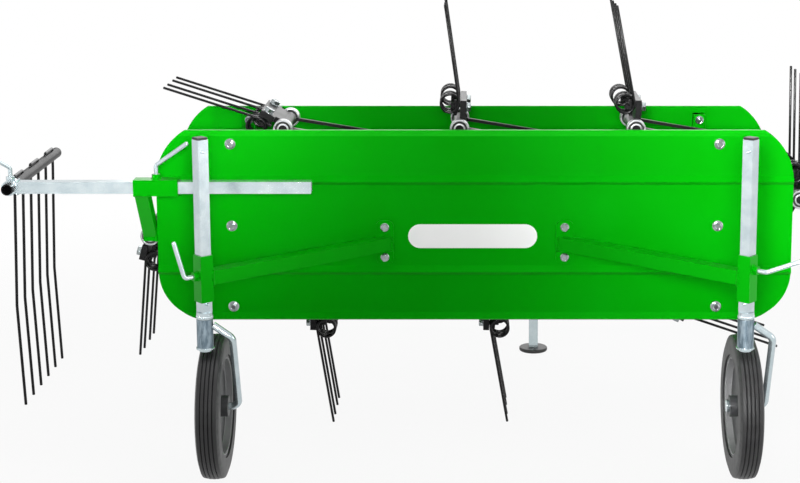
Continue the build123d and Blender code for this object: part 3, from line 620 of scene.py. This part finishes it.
for side in ("left", "right"):
    dress("wheel_arm_" + side, "arm_" + side, edge=0.0010, finish=green_coat)
plate_screws = copies(screw_head(M8_ACROSS, M8_HEAD, flange=0.0165, flange_high=0.0014),
                      [facing(shop(x, PLATE_FACE, z), (0, -1, 0), x) for x in PLATES for z in PLATE_ROWS])
fix(plate_screws, "plate_screws", screw_zinc, "frame")
arm_welds = []
for side, nut_z in CLAMP_NUTS:
    way = Vector((side * ARM_WAY.x, ARM_WAY.y, 0))
    across = Vector((-way.y, way.x, 0)) * ARM_HALF
    post = Vector((side * POST_X, POST_Y, 0))
    for z, up in ((ARM_TOP, 1), (ARM_LOW, -1)):
        joint = post - way * ARM_END + Vector((0, 0, z))
        arm_welds += weld_run(shop(*(joint - across)), shop(*(joint + across)), (-way.x, -way.y, up), WELD)
        arm_welds += weld_run(shop(side * FOOT_MID, PLATE_FACE, z), shop(side * FOOT_TO, PLATE_FACE, z),
                              (0, -1, up), WELD)
    for step in (-across, across):
        joint = post - way * SLEEVE_HALF + step * 1.04
        arm_welds += weld_run(shop(joint.x, joint.y, SIDE_LOW), shop(joint.x, joint.y, SIDE_TOP), step,
                              wide=0.0055)
    arm_welds += weld_run(shop(side * FOOT_FROM, PLATE_FACE, SIDE_LOW),
                          shop(side * FOOT_FROM, PLATE_FACE, SIDE_TOP), (-side, -1, 0), WELD)
    nut_face = post + way * SLEEVE_HALF
    arm_welds += weld_ring(shop(nut_face.x, nut_face.y, nut_z), way, NUT_R, NUT_WELD)
fix(copies(ripple(), arm_welds), "arm_welds", green_coat, "frame")


# Posts and casters. Square tube posts, zinc plated, with a plastic cap on top and a bent clamp screw;
# a pin welded into the foot carries the caster, a tube with a bent rod that is the wheel's axle.
POST_FOOT = 320
ZINC_EDGE = 0.0009
SWIVEL_R = 0.0152
SWIVEL_LOW = -0.1405


def zinc(place):
    grain = place.noise(420, 3)
    patch = place.add("TexVoronoi", {}, {"Vector": place, "Scale": 150}, "Color")
    patch = patch.add("SeparateColor", {}, {"Color": patch})
    cloud = place.noise(38, 2).band(0.34, 0.70)
    shade = 0.16 * patch + 0.24 * grain + 0.6 * cloud
    return {"Base Color": shade.tint((0.45, 0.53, 0.56), (0.56, 0.63, 0.65)),
            "Roughness": 0.19 + 0.03 * patch + 0.04 * cloud,
            "Normal": cloud.relief(0.015, 0.0005)}


def black_moulding(place):
    grain = place.noise(260, 3)
    return {"Base Color": place.noise(20, 2).tint((0.010, 0.010, 0.010), (0.022, 0.022, 0.023)),
            "Roughness": 0.42 + 0.18 * grain,
            "Normal": grain.relief(0.15, 0.0004)}


def rough_zinc(place):
    grain = place.noise(500, 4)
    streaks = place.add("Mapping", {}, {"Vector": place, "Scale": (1, 1, 0.25)})
    stain = streaks.noise(170, 3).band(0.36, 0.64)
    shade = 0.65 * stain + 0.35 * grain
    return {"Base Color": shade.tint((0.07, 0.11, 0.14), (0.30, 0.37, 0.42)),
            "Roughness": 0.30 + 0.25 * grain,
            "Normal": grain.relief(0.18, 0.0004)}


zinc_plate = new_finish("zinc_plate", {"Metallic": 0.80}, zinc)
black_plastic = new_finish("black_plastic", {"Specular IOR Level": 0.45}, black_moulding)
dull_zinc = new_finish("dull_zinc", {"Metallic": 0.8}, rough_zinc)


def dress_handle(node, name):
    """A clamp screw bent from round rod, rounded at its ends."""
    dress(node, name, edge=0.0028, finish=zinc_plate, angle=40, segments=3)


for side, sign in (("left", -1), ("right", 1)):
    foot = shop(sign * POST_X, POST_Y, POST_FOOT)
    dress("post_" + side, "post_tube_" + side, ZINC_EDGE, zinc_plate)
    dress("post_cap_" + side, "post_plug_" + side, edge=0.0016, finish=black_plastic, segments=3)
    fork = dress("caster_" + side, "caster_fork_" + side, edge=0.0008, finish=zinc_plate)
    fork.data.materials.append(dull_zinc)
    for face in fork.data.polygons:
        from_axis = (face.center - foot).xy.length
        face.material_index = int(from_axis < SWIVEL_R and face.center.z > SWIVEL_LOW)
    blobs = weld_ring(foot, (0, 0, 1), radius=0.0118, wide=0.0075, lift=0.6)
    blobs += weld_ring(foot - Vector((0, 0, 0.0045)), (0, 0, 1), radius=0.0132, wide=0.0070, lift=0.3)
    fix(copies(ripple(), blobs), "foot_weld_" + side, zinc_plate, "post_" + side)
    dress_handle("post_clamp_" + side, "post_handle_" + side)


# Wheels. Solid rubber tyres with ribs all round the tread, on dark grey moulded rims with a deep
# dish at each side and a long hub. The rim's lip is the same moulding, painted paler as painted light.
WHEEL_Y, WHEEL_Z = -0.8, -0.27
LIP_R = 0.0835


def tyre_rubber(place):
    dust = place.noise(55, 4)
    return {"Base Color": dust.tint((0.009, 0.009, 0.010), (0.034, 0.034, 0.035)),
            "Roughness": 0.36 + 0.26 * dust,
            "Normal": place.noise(420, 3).relief(0.22, 0.0006)}


def rim_moulding(place):
    grain = place.noise(240, 3)
    return {"Base Color": place.noise(16, 2).tint((0.035, 0.036, 0.038), (0.065, 0.066, 0.070)),
            "Roughness": 0.40 + 0.16 * grain,
            "Normal": grain.relief(0.12, 0.0004)}


# The rim's own dark grey moulding with a paler tint: painted light on the lip.
def lip_painted_light(place):
    grain = place.noise(240, 3)
    return {"Base Color": place.noise(16, 2).tint((0.20, 0.20, 0.205), (0.30, 0.30, 0.305)),
            "Roughness": 0.34 + 0.16 * grain,
            "Normal": grain.relief(0.12, 0.0004)}


tyre_black = new_finish("tyre_rubber", {"Specular IOR Level": 0.4}, tyre_rubber)
rim_grey = new_finish("rim_plastic", {"Specular IOR Level": 0.45}, rim_moulding)
lip_grey_painted_light = new_finish("rim_lip_painted_light", {"Specular IOR Level": 0.5}, lip_painted_light)
for side in ("left", "right"):
    dress("tyre_" + side, "tyre_ribbed_" + side, edge=0.0007, finish=tyre_black, angle=20)
    rim = dress("wheel_rim_" + side, "rim_dish_" + side, edge=0.0015, finish=rim_grey, segments=3)
    # Faces out past LIP_R get the paler finish, which is painted light on the lip.
    rim.data.materials.append(lip_grey_painted_light)
    for face in rim.data.polygons:
        from_axis = ((face.center.y - WHEEL_Y) ** 2 + (face.center.z - WHEEL_Z) ** 2) ** 0.5
        face.material_index = int(from_axis > LIP_R)


# Comb at the left. A green bracket carries a sleeve for the zinc plated bar; the ring at its end holds
# a black tube, and hairpin tines of spring wire hang from that.
BAR_END = -842.5
BAR_FRONT, BAR_BACK = -80, -60
RING_ROWS = ((518.5, 1), (495.5, -1))
BAR_NUT = (-586.5, -70, 522)
SLEEVE_SEAM = ((-626, -83, 492), (-604, -83, 492), (0, -0.3, -1))
PLATE_SEAM = ((-602.5, 1, 388), (-602.5, 1, 412), (1, -1, 0))
dress("comb_bracket", "bracket_welded", TUBE_EDGE, green_coat)
dress_handle("bar_clamp", "bar_handle")
dress("comb_bar", "bar_with_ring", ZINC_EDGE, zinc_plate)
ring_welds = []
for z, up in RING_ROWS:
    ring_welds += weld_run(shop(BAR_END, BAR_FRONT, z), shop(BAR_END, BAR_BACK, z), (-1, 0, up), wide=0.007)
fix(copies(ripple(), ring_welds), "ring_welds", zinc_plate, "comb_bar")
bracket_welds = weld_ring(shop(*BAR_NUT), (0, 0, 1), NUT_R, NUT_WELD)
for start, end, out in (SLEEVE_SEAM, PLATE_SEAM):
    bracket_welds += weld_run(shop(*start), shop(*end), out, WELD)
fix(copies(ripple(), bracket_welds), "bracket_welds", green_coat, "frame")
dress_handle("ring_clamp", "ring_handle")
dress("comb_tube", "comb_beam", edge=0.0004, finish=black_coat)
dress("comb_plug", "comb_end_plug", edge=0.0020, finish=black_plastic, segments=3)
dress("comb_tines", "comb_wires", edge=0.0012, finish=gloss_black, angle=40)


# Hitch, drive shaft and stand. A green tube with a bolted flange joins the rake to its tractor, the
# shaft runs inside it, and the parking stand slides in a sleeve beside it.
HITCH_FLANGE = 313
HITCH_COLUMNS = (-42, 42)
HITCH_ROWS = (358, 442)
HITCH_SEAMS = (((0, 313.5, 400), 1), ((0, 587.5, 400), -1))
dress("hitch", "hitch_welded", TUBE_EDGE, green_coat)
places = [facing(shop(x, HITCH_FLANGE, z), (0, 1, 0), x + z) for x in HITCH_COLUMNS for z in HITCH_ROWS]
hitch_screws = copies(screw_head(across=0.016, high=0.0070, flange=0.024, flange_high=0.0024), places)
fix(hitch_screws, "hitch_screws", screw_zinc, "frame")
hitch_welds = []
for middle, way in HITCH_SEAMS:
    hitch_welds += weld_ring(shop(*middle), (0, way, 0), radius=0.0308, wide=0.0075)
fix(copies(ripple(), hitch_welds), "hitch_welds", green_coat, "frame")
dress("drive_shaft", "shaft_bright", edge=0.0012, finish=bright_steel)
dress("stand_leg", "stand_tube", ZINC_EDGE, zinc_plate)
dress("stand_foot", "stand_pad", edge=0.0025, finish=black_plastic, segments=3)
dress_handle("stand_clamp", "stand_handle")


# The stage: a floor that shows only a faint shadow and is otherwise clear to the camera, so that a
# lowered wheel still shows; soft studio lamps; and a camera at the photograph's place.
FLOOR_SIZE = 120
FLOOR_Z = -0.4005
SHADOW_SHARE = 0.08
ROOM_LIGHT = 0.31
CAMERA_DOWN = 9.79    # degrees


def lamp(name, place, aim, size, power, spread=180):
    """A rectangular soft lamp that looks at a point."""
    light = bpy.data.lights.new(name, "AREA")
    light.shape = "RECTANGLE"
    light.size, light.size_y = size
    light.energy = power
    light.spread = radians(spread)
    holder = bpy.data.objects.new(name, light)
    bpy.context.scene.collection.objects.link(holder)
    holder.location = place
    holder.rotation_euler = (Vector(aim) - Vector(place)).to_track_quat("-Z", "Y").to_euler()


def seen_rays(tree):
    """1 where the camera looks, straight or by way of a bright or clear surface."""
    path = tree.nodes.new("ShaderNodeLightPath")
    rays = ("Camera", "Glossy", "Transmission")
    straight, gloss, through = (Shade(tree, path.outputs[f"Is {ray} Ray"]) for ray in rays)
    return straight.maths("MAXIMUM", straight, gloss.maths("MAXIMUM", gloss, through))


bpy.ops.mesh.primitive_plane_add(size=FLOOR_SIZE, location=(0, 0, FLOOR_Z))
floor = bpy.context.object
floor.name = "floor"
floor_paint = bpy.data.materials.new("pale_floor")
floor_paint.use_nodes = True
tree = floor_paint.node_tree
tree.nodes.clear()
seen = seen_rays(tree)
place = Shade(tree, tree.nodes.new("ShaderNodeTexCoord").outputs["Object"])
away = place.add("VectorMath", {"operation": "LENGTH"}, {0: place}, "Value").band(0.9, 1.9)
matt = seen.add("BsdfDiffuse", {}, {"Color": (0.55, 0.55, 0.55, 1)})
clear = seen.add("BsdfTransparent", {}, {})
mixed = seen.add("MixShader", {}, {0: seen * (1 - SHADOW_SHARE * (1 - away)), 1: matt, 2: clear})
output = tree.nodes.new("ShaderNodeOutputMaterial")
tree.links.new(mixed.socket, output.inputs["Surface"])
floor.data.materials.append(floor_paint)

world = bpy.data.worlds.new("studio")
bpy.context.scene.world = world
world.use_nodes = True
tree = world.node_tree
back = tree.nodes["Background"]
back.inputs["Color"].default_value = (1, 1, 1, 1)
strength = ROOM_LIGHT + (1 - ROOM_LIGHT) * seen_rays(tree)
tree.links.new(strength.socket, back.inputs["Strength"])

lamp("left_box", (-0.1, -3.3, 0.75), (-0.62, -0.6, 0.28), (0.6, 0.5), 2.8, 20)
lamp("right_box", (0.1, -3.3, 0.75), (0.82, -0.6, 0.24), (0.8, 0.5), 8.8, 36)
lamp("left_wing", (-3.2, -2.0, 0.5), (0.2, -0.7, 0), (1.4, 1.4), 11)
lamp("right_wing", (3.2, -2.0, 0.5), (-0.2, -0.7, 0), (1.4, 1.4), 21)
lamp("top", (0, -0.9, 3.0), (0, -0.5, 0), (2.6, 1.6), 34)
lamp("back_box", (0.4, 2.6, 1.3), (0, -0.3, 0.05), (3.6, 2.4), 32, 140)

camera = bpy.data.objects.new("camera", bpy.data.cameras.new("camera"))
bpy.context.scene.collection.objects.link(camera)
camera.location = (-0.014, -3.758, 0.732)
camera.rotation_euler = (radians(90 - CAMERA_DOWN), 0, 0)
camera.data.lens = 76.93
camera.data.sensor_width = 36
camera.data.shift_x = -0.0842
camera.data.shift_y = -0.13
bpy.context.scene.camera = camera
bpy.context.scene.view_settings.view_transform = "Standard"
